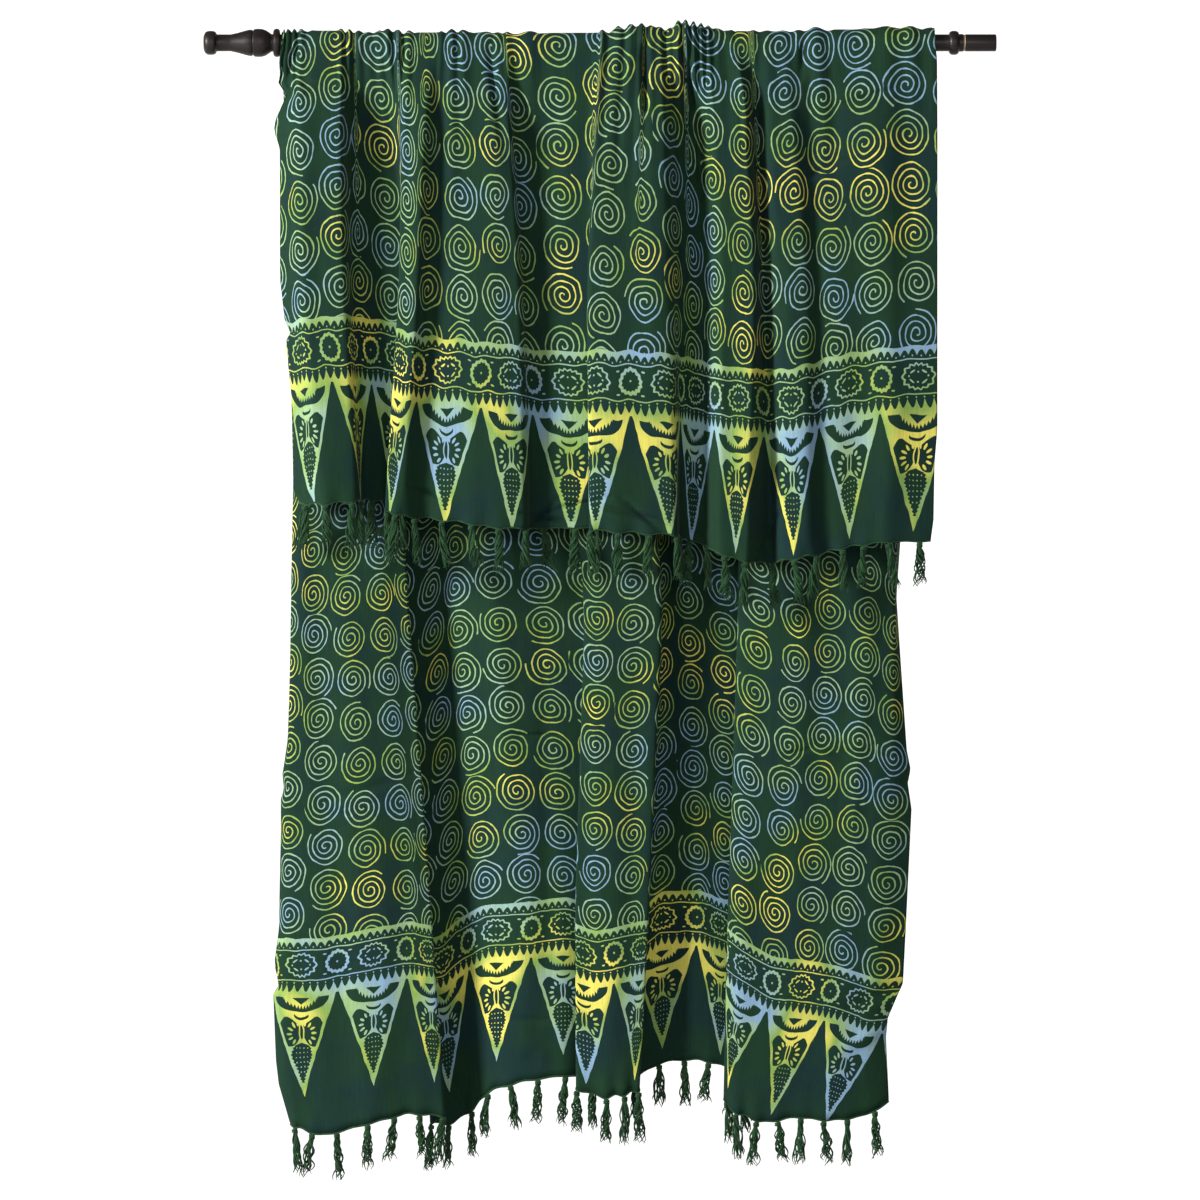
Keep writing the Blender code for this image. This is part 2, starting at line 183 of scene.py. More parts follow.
# Outline of each fall's two sides: level below the rod, place of the silhouette
FRONT_LEFT_EDGE = named_rows("level place", (
    (0, -332), (18, -334), (34, -334), (43, -336), (56, -328), (73, -335), (80, -339), (93, -341),
    (112, -335), (249, -335), (293, -330), (305, -324), (314, -329), (343, -326), (391, -321),
    (470, -321), (484, -314),
))
FRONT_RIGHT_EDGE = named_rows("level place", (
    (0, 353), (406, 353), (443, 350), (501, 349), (523, 346),
))
BACK_LEFT_EDGE = named_rows("level place", (
    (0, -334), (459, -320), (632, -325), (732, -329), (769, -334), (784, -332), (795, -335),
    (831, -334), (930, -334), (968, -339), (991, -334), (999, -340), (1070, -337), (1095, -334),
    (1140, -321),
))
BACK_RIGHT_EDGE = named_rows("level place", (
    (0, 353), (582, 312), (657, 317), (743, 323), (763, 327), (778, 324), (805, 328), (930, 322),
    (989, 319), (1004, 312), (1025, 303), (1045, 301), (1109, 304),
))

# Soft troughs (negative height) and ridges in a fall, from one place and level to another
FRONT_CREASES = named_rows("place level to_place to_level width height", (
    (45, -10, 47, 72, 3.6, -12.0), (82, -8, 103, 84, 3.8, -11.0), (103, 84, 106, 160, 4.2, -9.0),
    (140, 4, 158, 100, 5.0, 6.0), (-119, -8, -100, 114, 4.5, -5.5),
    (214, -12, 210, 40, 3.6, -5.0), (-325, 47, -262, 48, 2.2, -3.6),
    (-112, 62, -60, 70, 2.2, -3.4), (200, 146, 262, 123, 2.4, -3.6),
    (247, 68, 315, 47, 2.4, -3.6), (-84, 517, -45, 478, 2.8, -4.4),
    (-10, 485, 105, 512, 2.8, -4.4), (184, 400, 187, 496, 3.2, -5.0),
    (188, 494, 160, 545, 3.2, -5.0), (-197, 464, -160, 480, 2.6, -3.6),
    (-82, 494, -26, 504, 2.6, -3.6), (-59, 492, 13, 477, 2.6, -3.4),
    (21, 477, 65, 514, 2.8, -4.0), (-322, 452, -306, 480, 3.0, -3.0),
    (-315, -5, -328, 42, 5.0, -5.5), (-312, 58, -336, 74, 4.0, 3.0),
    (-318, 30, -304, 52, 4.0, -3.0), (-300, 120, -330, 150, 5.0, -2.0),
    (-150, 20, -158, 210, 9.0, 2.2), (-30, 10, -38, 260, 14.0, 2.6),
    (28, 40, 20, 330, 16.0, -2.2), (60, 150, 52, 420, 14.0, 2.0), (250, 10, 240, 180, 12.0, -2.4),
    (290, 20, 284, 300, 18.0, 2.6), (325, 30, 318, 360, 12.0, -2.2),
    (-290, 90, -296, 330, 12.0, -2.2), (-190, 60, -200, 300, 10.0, 2.0),
    (196, 200, 204, 470, 9.0, 2.2), (140, 240, 134, 500, 9.0, -2.0),
    (270, 330, 262, 515, 14.0, -2.4), (310, 380, 300, 520, 12.0, 2.4),
))
BACK_CREASES = named_rows("place level to_place to_level width height", (
    (-333, 806, -250, 812, 2.4, -3.8), (-300, 800, -196, 768, 2.4, -3.4),
    (-95, 727, -42, 728, 2.4, -3.2), (164, 724, 190, 728, 2.4, -3.6),
    (197, 747, 221, 742, 2.4, -4.2), (250, 698, 270, 704, 2.4, -3.2),
    (256, 742, 306, 751, 2.4, -4.2), (222, 736, 246, 752, 5.0, 2.4),
    (-100, 1027, -51, 1029, 2.4, -3.4), (-89, 1063, -31, 1072, 2.4, -3.2),
    (318, 992, 262, 1012, 6.0, -3.0), (300, 1035, 250, 1060, 7.0, 2.6),
    (-300, 500, -286, 900, 16.0, -2.4), (-262, 620, -244, 1080, 18.0, 2.6),
    (-215, 560, -196, 1040, 12.0, -2.4), (-112, 560, -92, 960, 12.0, 2.4),
    (-60, 600, -52, 1060, 10.0, -2.2), (6, 590, 2, 900, 14.0, 2.4),
    (40, 640, 30, 1060, 10.0, -2.4), (92, 600, 96, 1000, 10.0, 2.2),
    (172, 620, 158, 1080, 12.0, -2.4), (216, 560, 200, 900, 14.0, 2.4),
    (262, 600, 248, 980, 12.0, -2.6), (298, 640, 286, 960, 10.0, 2.2),
    (-250, 60, -236, 420, 16.0, 2.4), (-120, 40, -104, 480, 14.0, -2.6),
    (30, 30, 24, 460, 14.0, 2.6), (150, 60, 162, 420, 16.0, -2.4), (290, 30, 276, 500, 18.0, 2.4),
))

# Places along the cloth where the front's sharp creases meet the rod
FRONT_SHARP = (657, 735, 770, 860)

# Fine pleats where the cloth bunches on the rod: from and to along the cloth
ROD_PLEATS = named_rows("start end length height reach", (
    (0, 90, 17, 2.6, 60), (110, 300, 24, 2.2, 100), (340, 520, 27, 2.0, 90),
    (590, 860, 19, 3.0, 110), (880, 1010, 24, 1.9, 100), (1030, 1100, 22, 1.9, 80),
))

# The rod's turned outline from its left end to its right end
ROD_OUTLINE = named_rows("place radius", (
    (-416.0, 0.0), (-416.0, 7.6), (-415.6, 8.6), (-414.4, 10.8), (-412.6, 12.1), (-410.0, 12.6),
    (-406.6, 12.5), (-404.6, 12.0), (-403.2, 11.0), (-402.6, 9.3), (-401.8, 8.9), (-388.0, 8.8),
    (-386.2, 9.2), (-381.0, 10.3), (-374.0, 12.3), (-369.0, 13.6), (-366.0, 13.9), (-364.9, 13.3),
    (-364.4, 12.9), (-363.8, 13.3), (-362.8, 14.4), (-359.0, 14.8), (-354.5, 14.5),
    (-350.8, 13.3), (-347.6, 11.2), (-345.4, 9.6), (-344.4, 9.1), (-343.2, 9.2), (-342.8, 12.6),
    (-341.8, 14.2), (-340.0, 14.8), (-338.4, 14.8), (-336.8, 14.2), (-336.0, 12.8),
    (-335.7, ROD_RADIUS), (366.2, ROD_RADIUS), (366.7, 10.6), (367.8, 11.9), (369.8, 12.6),
    (373.4, 12.6), (375.4, 11.9), (376.5, 10.7), (377.0, 9.3), (381.2, 9.2), (381.8, 8.5),
    (383.0, 8.4), (383.6, 9.0), (414.6, 9.0), (415.7, 8.6), (416.0, 7.8), (416.0, 0.0),
))


def srgb(code):
    """Linear colour with full alpha from an sRGB hex value."""
    channels = [int(code[start:start + 2], 16) / 255 for start in (1, 3, 5)]
    linear = [c / 12.92 if c <= 0.04045 else ((c + 0.055) / 1.055) ** 2.4 for c in channels]
    return (*linear, 1.0)


def colour_setting(name, description, code):
    """Colour property whose default is an sRGB hex value."""
    return FloatVectorProperty(
        name=name, description=description, subtype="COLOR", size=4, default=srgb(code)
    )


class SarongCloth(PropertyGroup):
    """Sizes of the cloth and the colours of its batik print."""

    thickness: FloatProperty(
        name="Thickness", description="Thickness of the rayon", default=0.0006, unit="LENGTH"
    )
    front_length: FloatProperty(
        name="Front length", description="Cut length of the front fall and turn", default=0.55,
        unit="LENGTH",
    )
    back_length: FloatProperty(
        name="Back length", description="Cut length of the back fall", default=1.10, unit="LENGTH"
    )
    spiral_line: FloatProperty(
        name="Spiral line", description="Width of the wax line of a spiral in millimetres",
        default=1.4,
    )
    ground_green: colour_setting("Ground green", "Deep green of the dyed ground", "#1b3a27")
    ground_teal: colour_setting("Ground teal", "Blue patches of the ground", "#173331")
    line_yellow: colour_setting("Yellow line", "Yellow of the wax lines", "#f0e56c")
    line_green: colour_setting("Green line", "Leaf green of the wax lines", "#90b25a")
    line_sage: colour_setting("Sage line", "Sage of the wax lines", "#a0c097")
    line_blue: colour_setting("Blue line", "Pale blue of the wax lines", "#8fb1cc")


class SarongTassels(PropertyGroup):
    """Number and size of the knotted tassels on each hem."""

    count: IntProperty(
        name="Tassels", description="Tassels on each hem", default=TASSEL_COUNT, min=2
    )
    length: FloatProperty(
        name="Length", description="Length of a tassel", default=0.050, unit="LENGTH"
    )
    yarns: IntProperty(name="Yarns", description="Yarns in a tassel", default=14, min=4)
    yarn_radius: FloatProperty(
        name="Yarn radius", description="Radius of one yarn", default=0.00085, unit="LENGTH",
        precision=5,
    )
    colour: colour_setting("Yarn colour", "Dark green of the yarn", "#234a29")


class SarongRod(PropertyGroup):
    """Finish of the turned rod."""

    sides: IntProperty(name="Sides", description="Sides round the rod", default=64, min=12)
    colour: colour_setting("Stain", "Dark stain of the wood", "#211917")
    bare_wood: colour_setting("Bare wood", "Wood where the stain missed", "#b9a184")


class SarongStage(PropertyGroup):
    """Backdrop, lights and camera."""

    backdrop: colour_setting("Backdrop", "Colour of floor and backdrop", "#f7f7f6")
    key_power: FloatProperty(
        name="Key light", description="Power of the main light", default=330.0, unit="POWER"
    )
    fill_power: FloatProperty(
        name="Fill light", description="Power of the second light", default=30.0, unit="POWER"
    )
    camera_distance: FloatProperty(
        name="Camera distance", description="Distance from the rod to the camera", default=6.0,
        unit="LENGTH",
    )


def add_node(tree, kind, *values, output=0, **settings):
    """Add a node, set it and its inputs, and return one of its outputs, or all for None.

    A kind in capitals is a Math node's operation, and VectorMath's operation follows a space.
    """
    kind, _, operation = ("Math " + kind if kind.isupper() else kind).partition(" ")
    node = tree.nodes.new("ShaderNode" + kind)
    if operation:
        node.operation = operation
    for name, setting in settings.items():
        setattr(node, name, setting)
    for socket, value in zip(node.inputs, values):
        if isinstance(value, bpy.types.NodeSocket):
            tree.links.new(value, socket)
        elif value is not None:
            socket.default_value = value
    return node.outputs if output is None else node.outputs[output]


def new_material(name, roughness, sheen, specular):
    """Principled material with its constant values set on the shader itself."""
    material = bpy.data.materials.new(name)
    material.use_nodes = True
    shader = material.node_tree.nodes["Principled BSDF"]
    shader.inputs["Roughness"].default_value = roughness
    shader.inputs["Sheen Weight"].default_value = sheen
    shader.inputs["Sheen Roughness"].default_value = 0.45
    shader.inputs["Specular IOR Level"].default_value = specular
    return material, material.node_tree, shader


def finish_surface(tree, shader, colour, relief, strength, depth):
    """Link a material's colour and the bump of its fine relief."""
    tree.links.new(colour, shader.inputs["Base Color"])
    bump = add_node(tree, "Bump", strength, depth, 1.0, relief)
    tree.links.new(bump, shader.inputs["Normal"])


def oval_distance(tree, point, across, down, half_width, half_height):
    """Distance from an oval's centre, 1 on its outline."""
    offset = add_node(tree, "VectorMath SUBTRACT", point, (across, down, 0))
    scaled = add_node(tree, "VectorMath DIVIDE", offset, (half_width, half_height, 1))
    return add_node(tree, "VectorMath LENGTH", scaled, output=1)


def in_oval(tree, point, *oval):
    """Mask of an oval."""
    return add_node(tree, "LESS_THAN", oval_distance(tree, point, *oval), 1.0)


def join(tree, *masks):
    """Union of masks."""
    return reduce(partial(add_node, tree, "MAXIMUM"), masks)


def cut(tree, *masks):
    """The first mask with the others cut out of it."""
    return reduce(partial(add_node, tree, "SUBTRACT", use_clamp=True), masks)


def both(tree, *masks):
    """Intersection of masks."""
    return reduce(partial(add_node, tree, "MULTIPLY"), masks)


def printed_teeth(tree, across, down, pitch, base, height):
    """A row of pointed teeth on a line, downward for a positive height."""
    node = partial(add_node, tree)
    wave = node("PINGPONG", across, pitch / 2)
    share = node("MULTIPLY", wave, 2 / pitch)
    share = node("MULTIPLY", node("POWER", share, 1.6), abs(height))
    reach = node("SUBTRACT", down, base)
    if height < 0:
        reach = node("MULTIPLY", reach, -1.0)
    above = node("GREATER_THAN", reach, -0.5)
    return both(tree, node("LESS_THAN", reach, share), above)


def printed_spirals(tree, across, down, line_width):
    """Hand-drawn spirals, one in each cell of a grid whose columns are shifted by chance."""
    node = partial(add_node, tree)
    column = node("FLOOR", node("DIVIDE", across, SPIRAL_PITCH))
    chance = node("TexWhiteNoise", None, column, noise_dimensions="1D")
    slide = node("MULTIPLY", chance, ROW_PITCH)
    slid = node("ADD", down, slide)
    row = node("FLOOR", node("DIVIDE", slid, ROW_PITCH))
    cell = node("CombineXYZ", column, row)
    drawn = node("TexWhiteNoise", cell, noise_dimensions="2D", output=1)
    jitter = node("VectorMath SUBTRACT", drawn, HALF)
    jitter = node("VectorMath MULTIPLY", jitter, SPIRAL_JITTER)
    middle = node("VectorMath ADD", cell, (0.5, 0.5, 0.0))
    middle = node("VectorMath MULTIPLY", middle, (SPIRAL_PITCH, ROW_PITCH, 0.0))
    place = node("CombineXYZ", across, slid)
    offset = node("VectorMath ADD", node("VectorMath SUBTRACT", place, middle), jitter)
    offset = node("VectorMath MULTIPLY", offset, (1.0, 1.03, 0.0))
    radius = node("VectorMath LENGTH", offset, output=1)
    parts = node("SeparateXYZ", offset, output=None)
    chances = node("SeparateXYZ", drawn, output=None)
    angle = node("ARCTAN2", parts[1], parts[0])
    turn = node("DIVIDE", angle, 2 * math.pi)
    turn = node("ADD", turn, chances[2])
    turn = node("FRACT", turn)
    line_gap, inner_end, outer_end, outer_spread = 5.9, 1.4, 21.4, 2.4
    rounds = node("DIVIDE", radius, line_gap)
    rounds = node("ROUND", node("SUBTRACT", rounds, turn))
    rounds = node("MAXIMUM", rounds, 0.0)
    line = node("MULTIPLY", node("ADD", rounds, turn), line_gap)
    outer = node("MULTIPLY_ADD", chances[0], outer_spread, outer_end)
    on_line = node("COMPARE", radius, line, line_width)
    inside = node("LESS_THAN", line, outer)
    started = node("GREATER_THAN", line, inner_end)
    return both(tree, on_line, inside, started)


def printed_band(tree, across, x, down):
    """Border's upper part: strips, teeth, thin lines, dots, zigzag ovals and scalloped rings.

    Its sizes, like the triangle's, are millimetres of cloth below the border's top and aside of x.
    """
    node = partial(add_node, tree)
    tooth = BORDER_REPEAT / 9
    strip = node("COMPARE", down, 1.8, 1.8)
    hanging = printed_teeth(tree, across, down, tooth, 3.2, 5.6)
    upper_line = node("COMPARE", down, 12.2, 0.55)
    lower_line = node("COMPARE", down, 43.4, 0.55)
    standing = printed_teeth(tree, across, down, tooth, 56.0, -8.4)
    lower_strip = node("COMPARE", down, 57.2, 1.6)

    tooth_wave = node("PINGPONG", across, tooth / 2)
    dot_place = node("CombineXYZ", tooth_wave, down)
    upper_dot = in_oval(tree, dot_place, 0, 9.3, 0.8, 0.8)
    lower_dot = in_oval(tree, dot_place, tooth / 2, 46.2, 0.8, 0.8)

    level = node("SUBTRACT", down, 27.6)
    oval_place = node("CombineXYZ", x, level)
    oval = oval_distance(tree, oval_place, 0, 0, 16.2, 11.4)
    angle = node("ARCTAN2", level, x)
    zigzag = node("PINGPONG", angle, math.pi / 14)
    zigzag = node("MULTIPLY_ADD", zigzag, 0.75, oval)
    oval_line = node("COMPARE", zigzag, 1.06, 0.07)

    side = node("ABSOLUTE", x)
    rise = node("ABSOLUTE", level)
    quarter = node("CombineXYZ", side, rise)
    slanted = node("VectorRotate", quarter, (6.0, 4.4, 0.0), None, 0.6, rotation_type="Z_AXIS")
    dash = in_oval(tree, slanted, 6.0, 4.4, 3.0, 0.9)
    seed = in_oval(tree, quarter, 0.0, 4.6, 0.9, 0.9)
    heart = in_oval(tree, quarter, 9.6, 0.0, 0.9, 0.9)

    ring_side = node("SUBTRACT", BORDER_REPEAT / 2, side)
    ring_place = node("CombineXYZ", ring_side, rise)
    ring = oval_distance(tree, ring_place, 0, 0, 11.4, 11.4)
    ring_angle = node("ARCTAN2", rise, ring_side)
    scallop = node("PINGPONG", ring_angle, math.pi / 14)
    scallop = node("MULTIPLY_ADD", scallop, -0.55, ring)
    ring_line = node("COMPARE", scallop, 0.88, 0.14)
    ring_dot = node("LESS_THAN", ring, 0.09)
    corner = in_oval(tree, ring_place, 13.6, 10.4, 2.0, 0.8)
    return join(tree, strip, hanging, upper_line, lower_line, standing, lower_strip, upper_dot,
                lower_dot, oval_line, dash, seed, heart, ring_line, ring_dot, corner)


def printed_triangle(tree, x, down):
    """Border's hanging triangle: fringed half moon, crescent, butterfly and seed pod."""
    node = partial(add_node, tree)
    top = 57.0
    side = node("ABSOLUTE", x)
    point = node("CombineXYZ", side, down)
    half = node("SUBTRACT", BORDER_TO_TIP, down)
    half = node("MULTIPLY", half, 38.6 / (BORDER_TO_TIP - top))
    inner_half = node("SUBTRACT", half, 3.2)
    inner = node("LESS_THAN", side, inner_half)
    below_top = node("GREATER_THAN", down, top)
    body = both(tree, node("LESS_THAN", side, half), below_top)

    # Dark half moon with a light beard and a small dark beak
    moon_top = node("GREATER_THAN", down, 60.6)
    moon = both(tree, in_oval(tree, point, 0, 60.5, 30.5, 16.5), moon_top)
    rays = node("PINGPONG", x, 1.75)
    beard_curve = node("MULTIPLY_ADD", node("POWER", side, 2.0), -0.028, 70.0)
    beard_edge = node("MULTIPLY_ADD", rays, 2.3, beard_curve)
    beard_reach = node("LESS_THAN", side, 18.5)
    beard = both(tree, node("LESS_THAN", down, beard_edge), beard_reach)
    beak_half = node("MULTIPLY", node("SUBTRACT", 69.4, down), 1.15)
    beak_top = node("GREATER_THAN", down, 61.8)
    beak = both(tree, node("LESS_THAN", side, beak_half), beak_top)
    moon = join(tree, cut(tree, moon, beard), beak)

    disc = in_oval(tree, point, 0, 80.8, 8.2, 4.4)
    crescent = cut(tree, disc, in_oval(tree, point, 0, 78.6, 7.8, 3.8))

    # Wings fill the outline's width, with four or five light spots round each root
    dip = node("MULTIPLY_ADD", side, -0.62, 9.5)
    dip = node("ADD", node("MAXIMUM", dip, 0.0), 82.0)
    below_dip = node("GREATER_THAN", down, dip)
    above_foot = node("LESS_THAN", down, node("MULTIPLY_ADD", side, 0.8, 107.0))
    wings = both(tree, in_oval(tree, point, 13.5, 97, 12.2, 16.5), below_dip, above_foot)
    wing_root = node("VectorMath SUBTRACT", point, (3.0, 99.5, 0.0))
    wing_parts = node("SeparateXYZ", wing_root, output=None)
    wing_angle = node("ARCTAN2", wing_parts[1], wing_parts[0])
    wing_radius = node("VectorMath LENGTH", wing_root, output=1)
    spot_wave = node("PINGPONG", wing_angle, 0.25)
    spot_across = node("MULTIPLY", spot_wave, wing_radius)
    spot_point = node("CombineXYZ", spot_across, wing_radius)
    spots = in_oval(tree, spot_point, 0, 10.6, 1.25, 3.0)
    shell = in_oval(tree, point, 0, 98, 3.2, 9.4)
    wings = cut(tree, wings, spots, shell)
    thorax = in_oval(tree, point, 0, 98, 1.7, 7.8)

    # Seed pod with a scalloped edge and rows of seeds
    scallops = node("PINGPONG", down, 1.8)
    pod_side = node("MULTIPLY_ADD", scallops, 1.0, side)
    pod_point = node("CombineXYZ", pod_side, down)
    below_head = node("GREATER_THAN", down, node("MULTIPLY_ADD", side, 0.4, 109.2))
    in_outline = node("LESS_THAN", pod_side, inner_half)
    pod = both(tree, in_oval(tree, pod_point, 0, 128, 12.6, 23.5), below_head, in_outline)
    seed_wave = node("PINGPONG", down, 2.5)
    seed_row = node("PINGPONG", side, 2.0)
    seed_point = node("CombineXYZ", seed_row, seed_wave)
    seed_rows = both(tree, node("COMPARE", down, 127.0, 15.5), node("LESS_THAN", pod_side, 7.4))
    seeds = both(tree, in_oval(tree, seed_point, 2.0, 0, 0.65, 0.7), seed_rows)
    pod = cut(tree, pod, seeds)
    dark = both(tree, join(tree, moon, crescent, wings, thorax, pod), inner)
    return cut(tree, body, dark)


def cloth_material(settings):
    """Batik dyed rayon: a soft matte plain weave that shows its dye in clouds and wax lines."""
    material, tree, shader = new_material("batik_rayon", 0.82, 0.05, 0.14)
    node = partial(add_node, tree)
    chart = node("UVMap", uv_map="print")
    printed = node("VectorMath MULTIPLY", chart, (1000.0, 1000.0, 0.0))

    # Wax is drawn by hand, so every line wanders by up to about a millimetre
    wander = node("TexNoise", printed, None, 0.06, 1.0, 0.5, output=1)
    wander = node("VectorMath SUBTRACT", wander, HALF)
    wander = node("VectorMath MULTIPLY", wander, LINE_WANDER)
    drawn = node("VectorMath ADD", printed, wander)
    across, along, _ = node("SeparateXYZ", drawn, output=None)

    line_noise = node("TexNoise", printed, None, 0.16, 1.0)
    line_width = node("MULTIPLY_ADD", line_noise, 1.0, settings.spiral_line / 2 - 0.5)
    spirals = printed_spirals(tree, across, along, line_width)

    front_down = node("MULTIPLY", along, -1.0)
    back_down = node("SUBTRACT", along, FIELD_LENGTH)
    down = node("MAXIMUM", front_down, back_down)
    on_back = node("GREATER_THAN", along, FIELD_LENGTH / 2)
    moved_on_back = BACK_BORDER_SHIFT - FRONT_BORDER_SHIFT
    shift = node("MULTIPLY_ADD", on_back, moved_on_back, FRONT_BORDER_SHIFT)
    moved = node("SUBTRACT", across, shift)
    x = node("WRAP", moved, BORDER_REPEAT / 2, -BORDER_REPEAT / 2)
    in_field = node("LESS_THAN", down, 0.0)
    in_border = node("GREATER_THAN", down, 0.0)
    border = join(tree, printed_band(tree, across, x, down), printed_triangle(tree, x, down))
    wax = join(tree, both(tree, spirals, in_field), both(tree, border, in_border))

    # The dyer's brush leaves clouds about 100 mm across
    cloud = node("TexNoise", printed, None, 0.0098, 1.5, 0.5, 2.0, 0.6)
    dye = node("ValToRGB", cloud)
    places = (0.37, 0.46, 0.55, 0.66)
    colours = (settings.line_blue, settings.line_sage, settings.line_green, settings.line_yellow)
    stops = dye.node.color_ramp.elements
    for number, (place, colour) in enumerate(zip(places, colours)):
        stop = stops[number] if number < 2 else stops.new(place)
        stop.position, stop.color = place, colour

    ground_cloud = node("TexNoise", printed, None, 0.0095, 3.0, 0.6, 2.0, 0.4)
    ground_share = node("MapRange", ground_cloud, 0.44, 0.62, 0.0, 1.0)
    grounds = (tuple(settings.ground_green), tuple(settings.ground_teal))
    ground = node("Mix", ground_share, *[None] * 5, *grounds, data_type="RGBA", output=2)

    # Threads are 0.4 mm apart, drawn at 1.3 mm so that the weave still shows
    warp = node("VectorMath MULTIPLY", printed, (0.85, 0.03, 0.0))
    weft = node("VectorMath MULTIPLY", printed, (0.05, 1.1, 0.0))
    warp_slubs = node("TexNoise", warp, None, 1.0, 1.0)
    weft_slubs = node("TexNoise", weft, None, 1.0, 1.0)
    slubs = node("MULTIPLY_ADD", weft_slubs, 0.4, warp_slubs)
    weave_shade = node("MapRange", slubs, 0.4, 1.0, 0.84, 1.16)

    colour = node("Mix", wax, *[None] * 5, ground, dye, data_type="RGBA", output=2)
    shaded = node("VectorMath SCALE", colour, None, None, weave_shade)
    finish_surface(tree, shader, shaded, slubs, 0.35, 0.0006)
    return material


def yarn_material(settings):
    """Twisted rayon yarn: matte fibres whose dye took unevenly."""
    material, tree, shader = new_material("twisted_rayon_yarn", 0.85, 0.2, 0.2)
    node = partial(add_node, tree)
    place = node("TexCoord", output=3)
    # The dye is patchy over about 6 mm, and fibres are 0.7 mm thick so that they show
    uneven = node("TexNoise", place, None, 160.0, 2.0)
    shade = node("MapRange", uneven, 0.3, 0.7, 0.55, 1.35)
    colour = node("VectorMath SCALE", tuple(settings.colour)[:3], None, None, shade)
    fibres = node("TexNoise", place, None, 1400.0, 1.0)
    finish_surface(tree, shader, colour, fibres, 0.4, 0.0004)
    return material


def wood_material(settings):
    """Dark stained turned hardwood: satin, with fine grain along the rod."""
    material, tree, shader = new_material("stained_hardwood", 0.42, 0.0, 0.5)
    node = partial(add_node, tree)
    place = node("TexCoord", output=3)
    # Grain about 1 mm wide and 70 mm long
    along_grain = node("VectorMath MULTIPLY", place, (14.0, 900.0, 900.0))
    grain = node("TexNoise", along_grain, None, 1.0, 3.0, 0.6)
    shade = node("MapRange", grain, 0.3, 0.7, 0.6, 1.5)
    colour = node("VectorMath SCALE", tuple(settings.colour)[:3], None, None, shade)
    # The stain missed the bottom of the groove by the right bead
    along_rod = node("SeparateXYZ", place)
    bare = node("COMPARE", along_rod, BARE_RING, BARE_RING_HALF)
    bare_wood = tuple(settings.bare_wood)
    colour = node("Mix", bare, *[None] * 5, colour, bare_wood, data_type="RGBA", output=2)
    gloss = node("MapRange", grain, 0.3, 0.7, 0.36, 0.52)
    tree.links.new(gloss, shader.inputs["Roughness"])
    finish_surface(tree, shader, colour, grain, 0.25, 0.0003)
    return material


def fold_values(table, column, along):
    """A table's column along the cloth, with each crease rounded."""
    places = [row.along for row in table]
    values = [getattr(row, column) for row in table]
    steps = np.linspace(-CREASE_ROUNDING, CREASE_ROUNDING, 9)
    inside = [np.clip(along + step, 0.0, CLOTH_WIDTH) for step in steps]
    return np.mean([np.interp(place, places, values) for place in inside], axis=0)


def cloth_stations(count, sharp=()):
    """Places along the cloth, closer together where it turns or is sharply creased."""
    even = np.linspace(0.0, CLOTH_WIDTH, 2201)
    density = np.ones_like(even)
    for table in (FRONT_FOLDS, BACK_FOLDS):
        for row in table:
            density += 0.9 * np.exp(-(((even - row.along) / 7.0) ** 2))
    for place in sharp:
        density += 3.0 * np.exp(-(((even - place) / 8.0) ** 2))
    return spread_evenly(count, even, density)


def spread_evenly(count, even, density):
    """Places on a line, spread by a density."""
    total = np.concatenate(([0.0], np.cumsum((density[1:] + density[:-1]) / 2)))
    return np.interp(np.linspace(0.0, total[-1], count), total, even)


def down_shares(fall, count):
    """Rows as shares of a fall's drop, closer together at the creases that lie across it."""
    even = np.linspace(0.0, 1.0, 2001)
    density = np.ones_like(even)
    drop = np.mean([row.drop for row in fall.table])
    for crease in fall.creases:
        if abs(crease.to_place - crease.place) > abs(crease.to_level - crease.level):
            level = (crease.level + crease.to_level) / 2
            width = 7.0 + abs(crease.to_level - crease.level) / 2
            density += 1.6 * np.exp(-(((even * drop - level) / width) ** 2))
    return spread_evenly(count, even, density)


def down_values(levels, values, level):
    """Values down a fall at each station, drawn through given levels and softened."""
    steps = np.linspace(-1.0, 1.0, 5)
    reach = np.minimum(np.minimum(LEVEL_ROUNDING, level), levels[-1] - level)
    soft = np.zeros_like(level)
    for step in steps:
        at = level + step * reach
        value = values[-1].copy()
        for upper in range(len(levels) - 2, -1, -1):
            low, high = levels[upper], levels[upper + 1]
            share = np.clip((at - low) / (high - low), 0.0, 1.0)
            drawn = values[upper] + share * (values[upper + 1] - values[upper])
            value = np.where(at <= high, drawn, value)
        soft += value
    return soft / len(steps)


def smooth_share(share):
    """An even ramp from 0 to 1 that starts and ends gently."""
    share = np.clip(share, 0.0, 1.0)
    return share * share * (3 - 2 * share)


def crease_relief(creases, place, level):
    """Height of the soft troughs and ridges at a row of points."""
    relief = np.zeros_like(place)
    for crease in creases:
        run = crease.to_place - crease.place
        fall = crease.to_level - crease.level
        length = math.hypot(run, fall)
        share = ((place - crease.place) * run + (level - crease.level) * fall) / length**2
        inside = np.clip(share, 0.0, 1.0)
        near_place = crease.place + inside * run
        near_level = crease.level + inside * fall
        distance = np.hypot(place - near_place, level - near_level)
        fade = np.sin(np.pi * np.clip(inside, 0.12, 0.88)) ** 0.7
        relief += crease.height * fade * np.exp(-((distance / crease.width) ** 2))
    return relief


